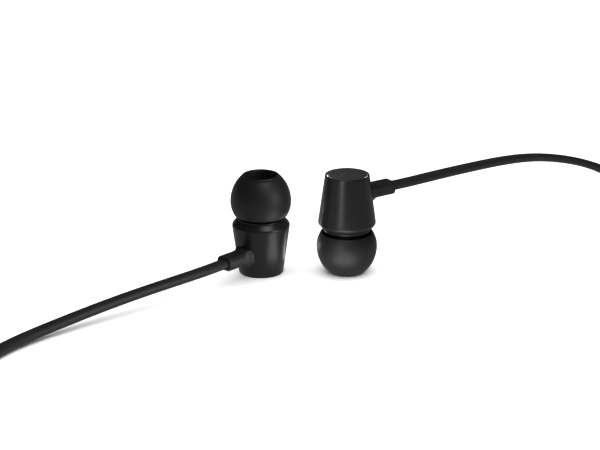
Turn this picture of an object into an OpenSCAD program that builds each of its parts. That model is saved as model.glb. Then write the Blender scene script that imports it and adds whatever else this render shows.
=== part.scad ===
// Wired in-ear earphones: two turned metal buds with silicone tips, a flat Y cord and a stereo jack.
// Millimetres, +Z up. Both buds stand on the plane z = 0, the left one on its back cap and the
// right one on its ear tip. The origin is on that plane, midway between their axes.

/* [Housing] */
// Radius of the housing at its back face
housing_back_r = 4.5; // [4.3:0.1:5.6]
// Radius of the housing at its widest circle
housing_wide_r = 5.9; // [5.6:0.1:7.4]
// Length of the housing, back face to front face
housing_len = 11.3; // [10.8:0.1:14]
// Length of the bevelled shoulder in front of the widest circle
shoulder_len = 1.1; // [0.8:0.1:1.6]
// How far the shoulder draws in
shoulder_in = 0.95; // [0.6:0.05:1.1]
// Rounding of the widest edge
shoulder_r = 0.8; // [0.2:0.1:1.2]
// Wall round the front bore, at the front face
front_wall = 0.5; // [0.4:0.05:0.8]
// Wall round the back chamber, at the back face
back_wall = 0.6; // [0.4:0.05:0.7]
// Width of the ledge that the driver rests on
ledge_w = 0.5; // [0.3:0.05:0.6]
// Width of the lip that frames the end cap
cap_lip = 0.3; // [0.2:0.05:0.4]
// Thickness of the end cap
cap_t = 0.8; // [0.5:0.1:1.2]

/* [Nozzle] */
// Outer radius of the sound tube
nozzle_r = 2.6; // [2.3:0.1:3]
// Wall of the sound tube
nozzle_wall = 0.5; // [0.35:0.05:0.8]
// Length of the sound tube beyond its flange
nozzle_len = 4.7; // [4:0.1:6]
// How far the barb stands out of the tube
barb_h = 0.3; // [0.1:0.05:0.4]
// Thickness of the front cover's flange
flange_t = 0.3; // [0.2:0.05:0.5]
// Length of the spigot that presses into the housing
spigot_len = 0.8; // [0.6:0.1:1.2]
// Thickness of the acoustic mesh
mesh_t = 0.15; // [0.1:0.05:0.3]
// Thickness of the foam damper behind the mesh
damper_t = 1; // [0.5:0.1:2]

/* [Ear tip] */
// Widest radius of the ear tip
tip_r = 6.15; // [5.2:0.05:7.4]
// Length of the ear tip, skirt edge to lip
tip_len = 8.4; // [7:0.1:10]
// Height of the widest circle above the skirt edge
tip_mid = 2.8; // [2:0.1:3.6]
// How far the skirt draws in below the widest circle
skirt_in = 0.8; // [0.4:0.05:1.4]
// Width of the lip round the sound hole
lip_w = 0.65; // [0.5:0.05:0.9]
// How much wider the sound hole is than the bore of the sleeve
hole_step = 0.3; // [0.1:0.05:0.5]
// Thickness of the soft skirt
tip_wall = 0.45; // [0.3:0.05:0.7]
// Thickness of the sleeve that grips the sound tube
sleeve_wall = 0.55; // [0.4:0.05:0.8]
// Gap between the front face and the skirt edge
tip_gap = 0.9; // [0.6:0.1:1.4]
// Free space between the two ear tips
bud_gap = 5.1; // [3:0.1:12]

/* [Driver] */
// Length of the driver from its seat to its front ring
driver_len = 2.5; // [2.2:0.1:3]
// How much narrower the magnet pot is than the driver
pot_in = 1.5; // [1.3:0.1:1.8]
// Wall of the magnet pot
pot_wall = 0.4; // [0.3:0.05:0.6]
// Width of the magnetic gap that the voice coil moves in
magnet_gap = 0.6; // [0.4:0.05:0.8]
// Thickness of the magnet
magnet_t = 1.1; // [0.8:0.1:1.3]
// Thickness of the diaphragm
diaphragm_t = 0.12; // [0.08:0.02:0.2]

/* [Cord] */
// Width of each branch cord, its flat side lying level
cord_w = 2.7; // [2.2:0.1:3.2]
// Thickness of each branch cord
cord_t = 1.8; // [1.5:0.1:2.2]
// Width of the trunk cord
trunk_w = 3; // [2.4:0.1:3.6]
// Height of the strain relief's axis above the housing's back face
relief_z = 4.45; // [4:0.05:5.4]
// Distance from the bud's axis to the end of the strain relief
relief_reach = 11; // [9.5:0.1:14]
// Rubber round the cord in the strain relief
relief_wall = 0.5; // [0.4:0.05:0.7]
// How far the strain relief flares where it meets the housing
relief_flare = 0.5; // [0.3:0.05:0.7]
// Number of turns side by side in the coil
coil_across = 3; // [2:1:4]
// Number of layers in the coil
coil_layers = 3; // [2:1:4]
// Radius of the coil at the middle of its turns
coil_mid_r = 16.5; // [15:0.5:20]
// Thickness of the two ties round the coil
tie_t = 0.5; // [0.4:0.1:0.8]
// Width of each tie
tie_w = 4; // [3:0.5:6]

/* [Splitter] */
// Length of the splitter's shell
splitter_len = 12; // [10:0.5:16]
// Wall of the splitter beside the two branch cords
splitter_side = 0.8; // [0.6:0.1:1.5]
// Wall of the splitter above and below the cords
splitter_roof = 0.7; // [0.5:0.1:1.2]
// Length of the rubber collar at each end of the splitter
collar_len = 2; // [1.5:0.5:3]

/* [Plug] */
// Radius of the stereo jack
jack_r = 1.75; // [1.25:0.25:1.75]
// Length of the jack beyond the grip
jack_len = 14; // [14:0.5:17]
// Radius of the grip
grip_r = 3; // [2.8:0.1:3.6]
// Length of the grip
grip_len = 15; // [12:0.5:20]
// Length of the plug's strain relief
plug_relief_len = 9; // [7:0.5:12]

/* [Hidden] */
$fn = 64;
fit = 0.02;         // gap left between pressed or glued pieces
slip = 0.05;        // radial clearance between the barb and the ear tip
edge_r = 0.1;       // rounding of the small metal edges
arc_steps = 6;      // segments in a rounded corner
past = 1;           // how far a cut runs past the face that it opens
UP = [0, 0, 1];

// Housing and end cap
face_r = housing_wide_r - shoulder_in;
wide_z = housing_len - shoulder_len;
bore_r = face_r - front_wall;
chamber_r = min(housing_back_r - back_wall, bore_r - ledge_w);
cap_r = housing_back_r - cap_lip;

// Driver, measured up from the seat it rests on
driver_gap = 0.1;
driver_r = bore_r - 0.03;
seat_z = housing_len - spigot_len - driver_len - driver_gap;
basket_t = 0.3;
pot_r = driver_r - pot_in;
pot_len = 2;
pot_z = seat_z - 0.9;
plate_t = 0.4;
pole_r = pot_r - pot_wall - magnet_gap;
coil_in = pole_r + magnet_gap / 4;
coil_out = pole_r + magnet_gap * 3 / 4;
rim_z = seat_z + 1.6;
rim_in = driver_r - 0.65;
dome_h = 0.45;
roll_h = 0.3;
roll_steps = 8;
board_t = 0.5;
board_span = 100;
board_z = seat_z - fit - board_t;
wire_r = 0.18;
solder_r = 0.3;
solder_h = 0.3;
solder_angle = 25;
bead_r = 0.25;
bead_h = 0.4;
bead_y = 0.4;

// Front cover and ear tip
flange_z = housing_len + flange_t;
nozzle_top = flange_z + nozzle_len;
nozzle_bore = nozzle_r - nozzle_wall;
mesh_r = nozzle_r - nozzle_wall / 2;
spigot_r = bore_r - fit;
spigot_in = spigot_r - 0.5;
flange_r = face_r - 0.15;
barb_r = nozzle_r + barb_h;
barb_foot = 1.4;    // the barb's foot, crest and nose, measured down from the tube's end
barb_crest = 1.1;
barb_nose = 0.7;
sleeve_r = barb_r + slip;
skirt_z = housing_len + tip_gap;
mid_z = skirt_z + tip_mid;
bud_len = skirt_z + tip_len;
lip_round = min(0.3, lip_w / 2.2);
tip_hole_r = sleeve_r + hole_step;
tip_lip_r = tip_hole_r + lip_w;
sleeve_out = sleeve_r + sleeve_wall;
sleeve_z = skirt_z + 0.2;
web_round = 0.5;
low_angle = acos((tip_r - skirt_in) / tip_r);
top_angle = acos(tip_lip_r / tip_r);
low_axis = tip_mid / sin(low_angle);
top_axis = (bud_len - lip_round - mid_z) / sin(top_angle);

// Strain relief
relief_w = cord_w + 2 * relief_wall;
relief_h = cord_t + 2 * relief_wall;
root_w = relief_w + 2 * relief_flare;
root_h = relief_h + 2 * relief_flare;
relief_round = 0.9;
relief_end_r = 0.2;
flare_len = 1.8;
flare_steps = 5;
outer_at_relief = housing_back_r + (housing_wide_r - housing_back_r) * relief_z / wide_z;
seat_x = sqrt(pow(outer_at_relief, 2) - pow(root_w / 2, 2)) - 0.1;
stub_r = min(root_h, root_w) / 2 - 0.55;
stub_x = chamber_r - 0.9;
core_r = cord_t / 2;
knot_r = core_r + 0.4;
knot_round = 0.6;
knot_x = stub_x - knot_r - 0.5;
core_len = relief_reach - knot_x - 0.5;

// Where the buds stand, and which way their cords leave
bud_pitch = 2 * max(tip_r, housing_wide_r) + bud_gap;
left_heading = 228;
right_heading = 35;

// Coil, ties, splitter and plug, all on the surface in front of the buds
coil_at = [12, -119.5];
turn_gap = 0.05;
coil_pitch = trunk_w + turn_gap;
layer_pitch = cord_t + turn_gap;
coil_wide = coil_across * coil_pitch;
coil_high = coil_layers * layer_pitch;
coil_lift = tie_t + fit;
coil_round = 0.9;
tie_angles = [60, 150];
splitter_at = [38, -118.5];
splitter_w = 2 * cord_w + 2 * splitter_side;
splitter_h = cord_t + 2 * splitter_roof;
splitter_round = 1.5;
collar_in = 0.2;
plug_at = [-22, -137.5];
grip_mouth = 2.2;
grip_bevel = 0.4;
grip_taper = 1.5;
neck_r = grip_mouth - 0.45;
neck_len = 2;

// Jack, measured from the grip's shoulder, with its root buried in the grip
root_len = 3;
root_r = jack_r - 0.2;
band = 0.7;
ring_from = jack_len - 6.9;
ring_to = jack_len - 4.5;
pin_r = 0.5;
layer_t = 0.3;
waist_r = jack_r * 0.68;

// Points that the cords follow, from the bud, the splitter or the coil
left_route = [
    [-15.8, -7.9, 4.45], [-20, -12.4, 4.35], [-26.5, -17.7, 3.9], [-33.5, -22.9, 3.2],
    [-40.5, -28.5, 2.4], [-47, -34.4, 1.7], [-53.2, -41.2, 1.2], [-57.8, -49, 0.95],
    [-60.3, -58, 0.9], [-61, -68, 0.9], [-61, -78, 0.9], [-61, -88, 0.9], [-61, -98, 0.9],
    [-61, -108, 0.9], [-60, -117.4, 0.9], [-55.8, -125.6, 0.9], [-48, -129.6, 0.9],
    [-40.6, -125.4, 0.9], [-38, -116.4, 0.9], [-37.2, -107, 0.9], [-35.2, -98.4, 0.9],
    [-29.2, -93, 0.9], [-22.4, -95.8, 0.9], [-17.6, -101.8, 0.9], [-11.2, -104, 0.9],
    [-5.2, -100.6, 0.9], [0.8, -95.8, 0.9], [8, -92.8, 0.9], [16, -92.2, 0.9],
    [23.8, -93.8, 0.9], [30.6, -97.8, 0.9], [35.2, -104, 0.9], [36.4, -111.5, 0.95]
];
right_route = [
    [17.4, 6.1, 16.15], [22, 9.5, 16.1], [28.5, 15.4, 15.8], [35, 21.9, 15.2], [41, 28.6, 14.3],
    [47, 35.6, 13], [53, 42.6, 11.1], [59.5, 48.7, 8.7], [66.3, 52.3, 6], [72, 50.2, 3.6],
    [74.3, 44, 2.1], [74.2, 36, 1.25], [73.4, 27, 0.95], [72.1, 17.5, 0.9], [70.7, 8, 0.9],
    [69.3, -1.5, 0.9], [67.9, -11, 0.9], [66.5, -20.5, 0.9], [65.2, -30, 0.9], [64, -39.5, 0.9],
    [63, -49, 0.9], [62.4, -58.5, 0.9], [62.6, -68, 0.9], [64, -77.5, 0.9], [66.4, -86.5, 0.9],
    [69, -95, 0.9], [70.4, -103, 0.9], [68.4, -110.2, 0.9], [62.4, -113.4, 0.9],
    [56.8, -109.8, 0.9], [54.4, -102.8, 0.9], [49.4, -98.2, 0.9], [43.2, -99.2, 0.9],
    [40, -105, 0.9], [39.6, -111.5, 0.95]
];
lead_route = [
    [38, -125.5, 1], [37.8, -129, 0.95], [36.2, -132.3, 0.95], [33, -134.4, 1],
    [28, -135.7, 1.1], [22.6, -137, 1.25], [17.1, -138.4, 1.4]
];
tail_route = [
    [12, -139, 5.15], [5, -138.8, 5.1], [-2, -138.5, 4.95], [-8.5, -138.1, 4.6],
    [-15, -137.7, 3.7], [-23, -137.5, 3]
];

// ---- Helpers ----

function unit(v) = v / norm(v);

// Angle b brought to within half a turn of angle a
function near_angle(a, b) = b - 360 * round((b - a) / 360);

// Rounded corner of radius r at b, between a and c, as points
function corner(a, b, c, r) =
    let (u = unit(a - b), v = unit(c - b), half = acos(u * v) / 2,
         middle = b + unit(u + v) * r / sin(half),
         from = b + u * r / tan(half) - middle, to = b + v * r / tan(half) - middle,
         start = atan2(from.y, from.x), end = near_angle(start, atan2(to.y, to.x)))
    [for (i = [0 : arc_steps])
        let (t = start + (end - start) * i / arc_steps) middle + r * [cos(t), sin(t)]];

// Outline through points [x, y, r], each corner rounded with its own radius r
function outline(p) =
    let (n = len(p), xy = [for (q = p) [q.x, q.y]])
    [for (i = [0 : n - 1])
        each p[i].z > 0 ? corner(xy[(i + n - 1) % n], xy[i], xy[(i + 1) % n], p[i].z) : [xy[i]]];

// Arc of an ellipse about [0, z], as points from one angle to another
function bulge(r, axis, z, from, to, steps) =
    [for (i = [0 : steps]) let (t = from + (to - from) * i / steps) [r * cos(t), z + axis * sin(t)]];

// Rounded rectangle, w by h, as points
function pill(w, h, r) =
    outline([[w / 2, h / 2, r], [-w / 2, h / 2, r], [-w / 2, -h / 2, r], [w / 2, -h / 2, r]]);

// Washer or tube between two radii, from z to z + h
module tube(outer, inner, z, h) {
    translate([0, 0, z]) difference() {
        cylinder(r = outer, h = h);
        translate([0, 0, -past]) cylinder(r = inner, h = h + 2 * past);
    }
}

// Straight round rod between two points
module rod(a, b, r) {
    d = b - a;
    translate(a) rotate([0, acos(d.z / norm(d)), atan2(d.y, d.x)]) cylinder(r = r, h = norm(d));
}

// Solid through a list of rings that all have the same number of points
module skin_of(rings) {
    n = len(rings[0]);
    last = len(rings) - 1;
    polyhedron(
        points = [for (ring = rings) each ring],
        faces = concat(
            [[for (i = [n - 1 : -1 : 0]) i]],
            [for (k = [0 : last - 1], i = [0 : n - 1])
                [k * n + i, k * n + (i + 1) % n, (k + 1) * n + (i + 1) % n, (k + 1) * n + i]],
            [[for (i = [0 : n - 1]) last * n + i]]
        ),
        convexity = 6
    );
}

// Flat cord w by t swept along a route, its wide side level
module flat_cord(route, w, t) {
    sides = 8;
    last = len(route) - 1;
    skin_of([for (k = [0 : last])
        let (ahead = unit(route[min(k + 1, last)] - route[max(k - 1, 0)]),
             side = unit(cross(ahead, UP)), top = cross(side, ahead))
        [for (i = [0 : sides - 1])
            let (a = 360 * (i + 0.5) / sides)
            route[k] + side * cos(a) * w / 2 / cos(180 / sides)
                + top * sin(a) * t / 2 / cos(180 / sides)]]);
}

// A bud's own frame: back face at z = 0, ear tip upwards, cord leaving along +X
module left_bud() {
    translate([-bud_pitch / 2, 0, 0]) rotate([0, 0, left_heading]) children();
}

module right_bud() {
    translate([bud_pitch / 2, 0, bud_len]) rotate([0, 0, right_heading]) rotate([180, 0, 0])
        children();
}

// The plug's own frame: relief end at the origin, jack pointing along +Z
module plug_frame() {
    translate([plug_at.x, plug_at.y, grip_r]) rotate([0, -90, 0]) children();
}

// ---- Housing ----

module housing() {
    color("#1c1c1e") difference() {
        rotate_extrude() polygon(outline([
            [0, 0, 0], [housing_back_r, 0, edge_r], [housing_wide_r, wide_z, shoulder_r],
            [face_r, housing_len, edge_r], [0, housing_len, 0]
        ]));
        translate([0, 0, seat_z]) cylinder(r = bore_r, h = housing_len);
        cylinder(r = chamber_r, h = housing_len);
        translate([0, 0, -past]) cylinder(r = cap_r, h = cap_t + past);
        translate([0, 0, relief_z]) rotate([0, 90, 0])
            cylinder(r = stub_r + fit, h = 2 * housing_wide_r);
        translate([seat_x, 0, relief_z]) rotate([90, 0, 90])
            linear_extrude(height = housing_wide_r)
                polygon(pill(root_w + 2 * fit, root_h + 2 * fit, relief_round));
    }
}

module end_cap() {
    color("#3a3a3c") rotate_extrude() polygon(outline([
        [0, 0, 0], [cap_r - fit, 0, edge_r], [cap_r - fit, cap_t, 0], [0, cap_t, 0]
    ]));
}

// ---- Nozzle ----

module front_cover() {
    floor_z = housing_len - 0.2;
    spigot_z = housing_len - spigot_len;
    color("#1c1c1e") difference() {
        rotate_extrude() polygon([
            [nozzle_bore, floor_z], [spigot_in, floor_z], [spigot_in, spigot_z],
            [spigot_r, spigot_z], [spigot_r, housing_len], [flange_r, housing_len],
            [flange_r - edge_r, flange_z], [nozzle_r, flange_z],
            [nozzle_r, nozzle_top - barb_foot], [barb_r, nozzle_top - barb_crest],
            [barb_r, nozzle_top - barb_nose], [nozzle_r, nozzle_top], [nozzle_bore, nozzle_top]
        ]);
        translate([0, 0, nozzle_top - mesh_t]) cylinder(r = mesh_r, h = past);
    }
}

module nozzle_mesh() {
    color("#8a8a8c") translate([0, 0, nozzle_top - mesh_t]) cylinder(r = mesh_r - fit, h = mesh_t);
}

module damper() {
    color("#2c2c2e") translate([0, 0, nozzle_top - mesh_t - damper_t])
        cylinder(r = nozzle_bore - fit, h = damper_t);
}

// ---- Driver ----

module driver_basket() {
    color("#2a2a2c") difference() {
        translate([0, 0, seat_z]) cylinder(r = driver_r, h = rim_z - seat_z);
        translate([0, 0, seat_z + basket_t]) cylinder(r = driver_r - basket_t, h = driver_len);
        translate([0, 0, seat_z - past]) cylinder(r = pot_r + fit, h = driver_len);
    }
}

module magnet_pot() {
    color("#a0a0a4") difference() {
        translate([0, 0, pot_z]) cylinder(r = pot_r, h = pot_len);
        translate([0, 0, pot_z + pot_wall]) cylinder(r = pot_r - pot_wall, h = pot_len);
    }
}

module magnet() {
    color("#c8c8cc") translate([0, 0, pot_z + pot_wall]) cylinder(r = pole_r - 0.1, h = magnet_t);
}

module pole_plate() {
    color("#a0a0a4") translate([0, 0, pot_z + pot_wall + magnet_t]) cylinder(r = pole_r, h = plate_t);
}

module voice_coil() {
    low = pot_z + pot_wall + magnet_t;
    color("#b87333") tube(coil_out, coil_in, low, rim_z - low - fit);
}

module diaphragm() {
    outer_r = driver_r - 0.02;
    top = rim_z + diaphragm_t;
    roll = (rim_in - coil_out) / 2;
    under = bulge(roll, roll_h, rim_z, 180, 0, roll_steps);
    over = bulge(roll, roll_h, top, 0, 180, roll_steps);
    color("#d8d2b8") rotate_extrude() polygon(concat(
        bulge(coil_out, dome_h, rim_z, 90, 0, roll_steps),
        [for (i = [1 : roll_steps]) under[i] + [coil_out + roll, 0]],
        [[outer_r, rim_z], [outer_r, top]],
        [for (i = [0 : roll_steps - 1]) over[i] + [coil_out + roll, 0]],
        bulge(coil_out, dome_h, top, 0, 90, roll_steps)
    ));
}

module driver_ring() {
    low = rim_z + diaphragm_t + fit;
    color("#a0a0a4") tube(driver_r, rim_in, low, seat_z + driver_len - low);
}

module terminal_board() {
    inner = pot_r + 0.1;
    outer = chamber_r - 0.1;
    color("#2e6b3a") translate([0, 0, board_z]) rotate([0, 0, -board_span / 2])
        rotate_extrude(angle = board_span) translate([inner, 0]) square([outer - inner, board_t]);
}

module lead_wires() {
    pad_r = (pot_r + chamber_r) / 2;
    pad_z = board_z - fit - solder_h;
    bead_z = relief_z + knot_r + fit;
    color("#b05030") for (side = [-1, 1]) {
        pad = [pad_r * cos(solder_angle), side * pad_r * sin(solder_angle), pad_z];
        bead = [knot_x + 0.5, side * bead_y, bead_z];
        rod(pad, bead + [0, 0, bead_h / 2], wire_r);
        translate(pad) cylinder(r = solder_r, h = solder_h);
        translate(bead) cylinder(r = bead_r, h = bead_h);
    }
}

// ---- Cord, from the bud outwards ----

module cord_core() {
    color("#3c3c3e") translate([knot_x, 0, relief_z]) rotate([0, 90, 0]) rotate_extrude()
        polygon(outline([
            [0, -knot_r, 0], [knot_r, -knot_r, knot_round], [knot_r, knot_r, knot_round],
            [core_r, knot_r, 0], [core_r, core_len, 0], [0, core_len, 0]
        ]));
}

module strain_relief() {
    root_x = seat_x + fit;
    wall_x = outer_at_relief + 0.1;
    flare_step = flare_len / flare_steps;
    // Each station is [distance from the bud's axis, how much the outline grows there]
    stations = concat(
        [[root_x, 2 * relief_flare], [wall_x, 2 * relief_flare]],
        [for (i = [1 : flare_steps])
            [wall_x + flare_step * i, 2 * relief_flare * pow(1 - i / flare_steps, 2)]],
        [[relief_reach - relief_end_r, 0], [relief_reach, -relief_end_r]]
    );
    color("#19191a") difference() {
        union() {
            skin_of([for (s = stations)
                [for (p = pill(relief_w + s[1], relief_h + s[1], relief_round))
                    [s[0], -p.x, relief_z + p.y]]]);
            translate([stub_x, 0, relief_z]) rotate([0, 90, 0])
                cylinder(r = stub_r, h = root_x + 0.1 - stub_x);
        }
        translate([0, 0, relief_z]) rotate([0, 90, 0]) cylinder(r = core_r + fit, h = 2 * relief_reach);
    }
}

module ear_tip() {
    inner_top = acos((sleeve_out + web_round) / (tip_r - tip_wall));
    web = bulge(tip_r - tip_wall, top_axis - tip_wall, mid_z, inner_top, 0, 10);
    color("#1a1a1b") rotate_extrude() polygon(concat(
        bulge(tip_r, low_axis, mid_z, -low_angle, 0, 6),
        [for (p = bulge(tip_r, top_axis, mid_z, 0, top_angle, 16)) if (p.y > mid_z) p],
        outline([
            [tip_lip_r, bud_len, lip_round], [tip_hole_r, bud_len, lip_round],
            [tip_hole_r, nozzle_top + 0.6, 0], [sleeve_r, nozzle_top + 0.2, 0],
            [sleeve_r, sleeve_z, 0], [sleeve_out, sleeve_z, 0],
            [sleeve_out, web[0].y - web_round, 0]
        ]),
        web,
        [for (p = bulge(tip_r - tip_wall, low_axis, mid_z, 0, -low_angle, 6)) if (p.y < mid_z) p]
    ));
}

// ---- Splitter, trunk and coil ----

// Rounded bar of the splitter between two distances behind its middle, its outline drawn in by inset
module splitter_bar(near, far, inset) {
    translate([splitter_at.x, splitter_at.y + far, splitter_h / 2]) rotate([90, 0, 0])
        linear_extrude(height = far - near)
            polygon(pill(splitter_w - 2 * inset, splitter_h - 2 * inset, splitter_round - inset));
}

module splitter_shell() {
    color("#1c1c1e") splitter_bar(-splitter_len / 2, splitter_len / 2, 0);
}

module splitter_collars() {
    color("#19191a") for (y = [-splitter_len / 2 - collar_len, splitter_len / 2])
        splitter_bar(y, y + collar_len, collar_in);
}

module trunk_coil() {
    color("#19191a") translate([coil_at.x, coil_at.y, coil_lift]) rotate_extrude()
        translate([coil_mid_r, coil_high / 2]) polygon(pill(coil_wide, coil_high, coil_round));
}

module coil_ties() {
    span = tie_w / coil_mid_r * 180 / PI;
    w = coil_wide + 2 * fit;
    h = coil_high + 2 * fit;
    color("#19191a") for (a = tie_angles)
        translate([coil_at.x, coil_at.y, coil_lift + coil_high / 2]) rotate([0, 0, a - span / 2])
            rotate_extrude(angle = span) translate([coil_mid_r, 0]) difference() {
                polygon(pill(w + 2 * tie_t, h + 2 * tie_t, coil_round + tie_t));
                polygon(pill(w, h, coil_round));
            }
}

// ---- Plug ----

module plug_relief() {
    color("#19191a") plug_frame() rotate_extrude() polygon(outline([
        [0, 0, 0], [trunk_w / 2 + relief_end_r, 0, relief_end_r], [grip_mouth, plug_relief_len, 0],
        [neck_r, plug_relief_len, 0], [neck_r, plug_relief_len + neck_len, 0],
        [0, plug_relief_len + neck_len, 0]
    ]));
}

module plug_grip() {
    color("#1c1c1e") plug_frame() translate([0, 0, plug_relief_len]) difference() {
        rotate_extrude() polygon(outline([
            [0, 0, 0], [grip_mouth + 0.3, 0, 0.2], [grip_r, grip_taper, grip_bevel],
            [grip_r, grip_len, grip_bevel], [0, grip_len, 0]
        ]));
        translate([0, 0, -past]) cylinder(r = neck_r + fit, h = neck_len + past + fit);
        translate([0, 0, neck_len]) cylinder(r = root_r + fit, h = grip_len);
    }
}

// The jack's own frame: shoulder of the grip at z = 0
module jack_frame() {
    plug_frame() translate([0, 0, plug_relief_len + grip_len]) children();
}

module jack_sleeve() {
    inner = pin_r + 2 * layer_t;
    sleeve_to = ring_from - band;
    color("#c9a24a") jack_frame() rotate_extrude() polygon([
        [inner, -root_len], [root_r, -root_len], [root_r, 0], [jack_r, 0],
        [jack_r, sleeve_to], [inner, sleeve_to]
    ]);
}

module jack_ring() {
    color("#c9a24a") jack_frame() tube(jack_r, pin_r + layer_t, ring_from, ring_to - ring_from);
}

module jack_insulators() {
    color("#101010") jack_frame() {
        tube(jack_r, pin_r, ring_to, band);
        tube(pin_r + layer_t, pin_r, -root_len, root_len + ring_to);
        tube(jack_r, pin_r + layer_t, ring_from - band, band);
        tube(pin_r + 2 * layer_t, pin_r + layer_t, -root_len, root_len + ring_from - band);
    }
}

module jack_tip() {
    low = ring_to + band;
    color("#c9a24a") jack_frame() rotate_extrude() polygon([
        [0, -root_len], [pin_r, -root_len], [pin_r, low], [jack_r, low],
        [waist_r, jack_len - 2.1], [waist_r, jack_len - 1.8],
        [jack_r * 0.92, jack_len - 1.3], [jack_r * 0.4, jack_len - 0.15], [0, jack_len]
    ]);
}

// ---- Nodes ----

left_bud() housing();  // housing_left
left_bud() end_cap();  // end_cap_left
left_bud() front_cover();  // front_cover_left
left_bud() nozzle_mesh();  // nozzle_mesh_left
left_bud() damper();  // damper_left
left_bud() driver_basket();  // driver_basket_left
left_bud() magnet_pot();  // magnet_pot_left
left_bud() magnet();  // magnet_left
left_bud() pole_plate();  // pole_plate_left
left_bud() voice_coil();  // voice_coil_left
left_bud() diaphragm();  // diaphragm_left
left_bud() driver_ring();  // driver_ring_left
left_bud() terminal_board();  // terminal_board_left
left_bud() lead_wires();  // lead_wires_left
left_bud() cord_core();  // cord_core_left
left_bud() strain_relief();  // strain_relief_left
left_bud() ear_tip();  // ear_tip_left

right_bud() housing();  // housing_right
right_bud() end_cap();  // end_cap_right
right_bud() front_cover();  // front_cover_right
right_bud() nozzle_mesh();  // nozzle_mesh_right
right_bud() damper();  // damper_right
right_bud() driver_basket();  // driver_basket_right
right_bud() magnet_pot();  // magnet_pot_right
right_bud() magnet();  // magnet_right
right_bud() pole_plate();  // pole_plate_right
right_bud() voice_coil();  // voice_coil_right
right_bud() diaphragm();  // diaphragm_right
right_bud() driver_ring();  // driver_ring_right
right_bud() terminal_board();  // terminal_board_right
right_bud() lead_wires();  // lead_wires_right
right_bud() cord_core();  // cord_core_right
right_bud() strain_relief();  // strain_relief_right
right_bud() ear_tip();  // ear_tip_right

color("#19191a") flat_cord(left_route, cord_w, cord_t);  // cord_left
color("#19191a") flat_cord(right_route, cord_w, cord_t);  // cord_right
splitter_shell();
splitter_collars();
color("#19191a") flat_cord(lead_route, trunk_w, cord_t);  // trunk_lead
trunk_coil();
color("#19191a") flat_cord(tail_route, trunk_w, cord_t);  // trunk_tail
coil_ties();
plug_relief();
plug_grip();
jack_sleeve();
jack_ring();
jack_insulators();
jack_tip();
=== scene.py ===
# %% [markdown]
# # Wired in-ear earphones
#
# Two small black earphones stand side by side: the left one on its back cap, the right one upside
# down on its ear tip. A flat cord leaves each of them, the two meet in a splitter, and the trunk is
# wound in a strapped coil that ends in a stereo plug. The lesson builds the looks of each piece round a
# packed mechanical model, which already holds the sizes, the joints and the places.

# %% Load the frame
import math

import bmesh
import bpy
from mathutils import Matrix, Vector


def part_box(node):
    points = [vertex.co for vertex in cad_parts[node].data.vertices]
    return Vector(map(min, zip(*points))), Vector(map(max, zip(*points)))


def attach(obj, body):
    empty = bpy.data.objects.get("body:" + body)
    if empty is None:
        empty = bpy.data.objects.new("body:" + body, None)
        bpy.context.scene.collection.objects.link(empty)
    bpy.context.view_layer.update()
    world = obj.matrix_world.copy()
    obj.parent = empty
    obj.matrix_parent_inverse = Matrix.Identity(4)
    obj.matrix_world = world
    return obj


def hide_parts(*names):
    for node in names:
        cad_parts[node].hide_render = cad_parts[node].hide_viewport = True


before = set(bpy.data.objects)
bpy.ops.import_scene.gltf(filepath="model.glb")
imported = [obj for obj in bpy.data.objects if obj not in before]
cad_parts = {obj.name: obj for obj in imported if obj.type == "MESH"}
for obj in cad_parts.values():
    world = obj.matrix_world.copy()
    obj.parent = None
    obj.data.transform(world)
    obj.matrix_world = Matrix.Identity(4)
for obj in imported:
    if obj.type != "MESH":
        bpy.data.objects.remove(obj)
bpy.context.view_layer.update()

MM = 0.001

# %% [markdown]
# ## Camera
#
# The buds are seen a little from above with a long lens, so that their sides stay nearly parallel.
# A camera that turns round one target point keeps both buds in the same place in the frame.

# %% Camera
def put(name, data):
    """A new object in the scene, at the origin."""
    thing = bpy.data.objects.new(name, data)
    bpy.context.scene.collection.objects.link(thing)
    return thing


BUD_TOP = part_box("ear_tip_left")[1].z
CAMERA_HEIGHT_ANGLE = math.radians(19)
CAMERA_DISTANCE, CAMERA_LENS, CAMERA_NEAR = 0.4, 118.56, 0.01
TARGET_X, TARGET_DROP = -0.8 * MM, 0.45 * MM
target = Vector((TARGET_X, 0, BUD_TOP / 2 - TARGET_DROP))
away = Vector((0, -math.cos(CAMERA_HEIGHT_ANGLE), math.sin(CAMERA_HEIGHT_ANGLE)))

camera = put("studio_camera", bpy.data.cameras.new("studio_camera"))
camera.data.lens = CAMERA_LENS
camera.data.clip_start = CAMERA_NEAR
camera.location = target + away * CAMERA_DISTANCE
camera.rotation_euler = (math.pi / 2 - CAMERA_HEIGHT_ANGLE, 0, 0)
bpy.context.scene.camera = camera
print("camera at", [round(x, 4) for x in camera.location])

# %% [markdown]
# ## Cords first
#
# A cord is a fixed length of something flexible, so its route comes before its looks. Each route is
# a short list of points, smoothed by a natural cubic spline: it passes through every point, and its
# curvature changes without a jump, as in a bent cord. A simpler curve that only matches directions
# shows a faint corner at each point. The tube is then a row of equal outlines, each turned square to
# the curve, with the wide side kept level.

# %% Smooth a route
def slopes(p, rounds=40):
    """The direction of a natural spline at each point, improved round by round."""
    m = [(b - a) / 2 for a, b in zip([p[0]] + p, p[1:] + [p[-1]])]
    for _ in range(rounds):
        m[0] = (3 * (p[1] - p[0]) - m[1]) / 2
        m[-1] = (3 * (p[-1] - p[-2]) - m[-2]) / 2
        for i in range(1, len(p) - 1):
            m[i] = (3 * (p[i + 1] - p[i - 1]) - m[i - 1] - m[i + 1]) / 4
    return m


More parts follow.
